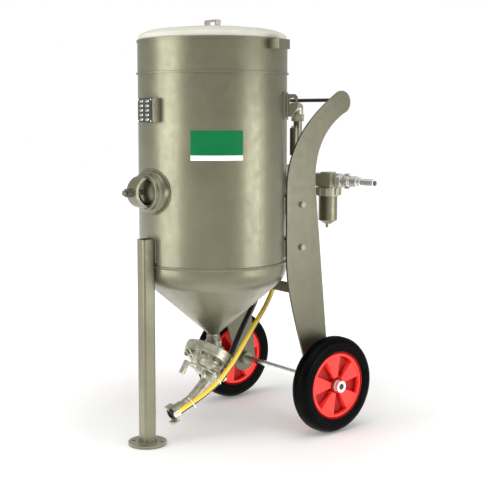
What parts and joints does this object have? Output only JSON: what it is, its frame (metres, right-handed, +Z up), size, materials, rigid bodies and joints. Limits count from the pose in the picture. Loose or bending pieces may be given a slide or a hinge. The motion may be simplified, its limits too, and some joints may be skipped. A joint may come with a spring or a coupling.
{
  "type": "portable abrasive blast pot",
  "caption": "Wheeled pressure vessel with cone bottom, filling collar and lid, handhole, metering valve, twin control line and moisture separator.",
  "frame": {"origin": "on the floor, at the middle of the machine's bounding box", "axes": "+Z up, front leg and handhole towards -Y, wheels towards +Y, axle along X"},
  "size_m": [0.464, 0.607, 0.9936],
  "materials": {
    "olive_paint": "warm grey-green metallic paint",
    "cast_grey": "painted casting",
    "steel": "bare and plated steel",
    "zinc": "bright plated malleable iron",
    "black_metal": "black paint",
    "rubber": "black rubber",
    "tyre": "solid black rubber tyre",
    "rim_red": "red moulded plastic",
    "bush_plastic": "nylon bush",
    "lid_plastic": "off-white plastic",
    "label_green": "printed film, plain",
    "hose_yellow": "twin rubber line, one yellow and one black",
    "tie_white": "nylon tie",
    "brass": "plated brass"
  },
  "bodies": {
    "vessel": {"vessel_shell": "olive_paint", "bottom_cone": "olive_paint", "filling_head": "olive_paint", "filling_collar": "olive_paint", "port_seal": "rubber", "air_stand_pipe": "steel", "outlet_nipple": "steel", "collar_lugs": "olive_paint", "lifting_lugs": "olive_paint", "door_frame": "olive_paint", "door_gasket": "rubber", "door_cover": "olive_paint", "door_yoke": "olive_paint", "data_plate_bracket": "steel", "data_plate": "steel", "label": "label_green", "front_leg": "olive_paint", "foot_plate": "olive_paint", "shell_brackets": "olive_paint", "side_plate_right": "olive_paint", "side_plate_left": "olive_paint", "hex_bolts": "olive_paint", "handle_bar": "black_metal", "cross_strap": "olive_paint", "axle": "steel", "axle_clamps": "olive_paint", "axle_caps": "zinc", "metering_body": "cast_grey", "metering_cover": "cast_grey", "inlet_coupling": "zinc", "outlet_wye": "cast_grey", "blast_coupling": "cast_grey", "blast_gasket": "rubber", "pusher_hose": "rubber", "hose_clamps": "steel", "control_hoses": "hose_yellow", "cable_ties": "tie_white", "control_fittings": "brass", "air_riser": "steel", "pipe_fittings": "olive_paint", "remote_valve": "olive_paint", "exhaust_silencer": "olive_paint", "separator_head": "olive_paint", "separator_ring": "olive_paint", "separator_bowl": "olive_paint"},
    "popup_plug": {"popup_valve": "steel"},
    "sieve_tray": {"sieve": "steel"},
    "lid": {"lid": "lid_plastic", "lid_handle": "steel"},
    "door_nut": {"door_nut": "steel"},
    "wheel_right": {"tyre_right": "tyre", "rim_right": "rim_red", "bush_right": "bush_plastic"},
    "wheel_left": {"tyre_left": "tyre", "rim_left": "rim_red", "bush_left": "bush_plastic"},
    "metering_lever": {"metering_disc": "cast_grey", "metering_lever": "cast_grey"},
    "drain_tap": {"separator_drain": "zinc"},
    "hose_tail": {"hose_tail": "zinc"}
  },
  "joints": [
    {"name": "popup_valve_lift", "type": "slide", "parent": "vessel", "child": "popup_plug", "axis": [0, 0, 1], "range_m": [0, 0.008]},
    {"name": "sieve_lift", "type": "slide", "parent": "vessel", "child": "sieve_tray", "axis": [0, 0, 1], "range_m": [0, 0.04]},
    {"name": "lid_lift", "type": "slide", "parent": "vessel", "child": "lid", "axis": [0, 0, 1], "range_m": [0, 0.15]},
    {"name": "door_nut_spin", "type": "hinge", "parent": "vessel", "child": "door_nut", "pos_m": [0, -0.2925, 0.593], "axis": [0, -1, 0], "continuous": true},
    {"name": "wheel_right_spin", "type": "hinge", "parent": "vessel", "child": "wheel_right", "pos_m": [0.198, 0.1605, 0.117], "axis": [1, 0, 0], "continuous": true},
    {"name": "wheel_left_spin", "type": "hinge", "parent": "vessel", "child": "wheel_left", "pos_m": [-0.198, 0.1605, 0.117], "axis": [1, 0, 0], "continuous": true},
    {"name": "metering_lever_turn", "type": "hinge", "parent": "vessel", "child": "metering_lever", "pos_m": [0.00114, -0.06509, 0.19769], "axis": [0.1489, -0.5974, -0.788], "range_deg": [0, 60]},
    {"name": "drain_tap_turn", "type": "hinge", "parent": "vessel", "child": "drain_tap", "pos_m": [0.062, 0.2695, 0.49], "axis": [0, 0, 1], "range_deg": [0, 90]},
    {"name": "hose_coupling_twist", "type": "hinge", "parent": "vessel", "child": "hose_tail", "pos_m": [0.139, 0.2695, 0.603], "axis": [1, 0, 0], "range_deg": [0, 35]}
  ]
}
